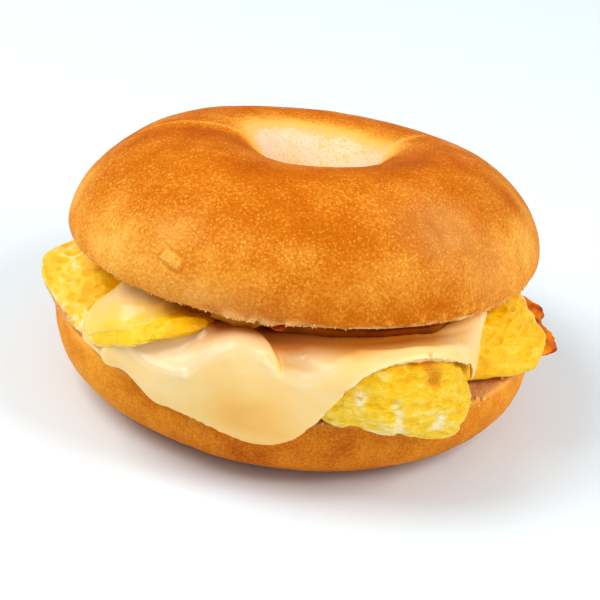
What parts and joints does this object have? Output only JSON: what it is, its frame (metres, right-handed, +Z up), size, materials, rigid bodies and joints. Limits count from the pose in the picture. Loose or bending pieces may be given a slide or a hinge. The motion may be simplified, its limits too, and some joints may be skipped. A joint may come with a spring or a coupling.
{
  "type": "bagel sandwich",
  "caption": "Toasted bagel cut in two rings, filled with folded egg, crisp bacon and melted cheese that hangs out at the front.",
  "frame": {"origin": "centre of the sandwich's outline, at the bottom of the bottom ring", "axes": "+Z up along the hole, -Y towards the side where the cheese hangs out, +X to the right seen from there"},
  "size_m": [0.1186, 0.1138, 0.0651],
  "materials": {
    "crust_bottom": "baked tan crust, satin, toasted pale crumb on the cut face",
    "crust_top": "golden brown baked crust with fine blisters, satin sheen, pale where the hole is unbrowned",
    "egg": "bright yellow folded egg, moist, finely curded",
    "cheese": "pale cream-yellow melted cheese, soft gloss",
    "bacon": "crisp fried red-brown, greasy sheen"
  },
  "bodies": {
    "root": {"bun_bottom": "crust_bottom", "bun_top": "crust_top", "egg_lower": "egg", "egg_front": "egg", "egg_upper": "egg", "cheese_front": "cheese", "cheese_upper": "cheese", "bacon_right": "bacon", "bacon_front": "bacon"}
  },
  "joints": []
}
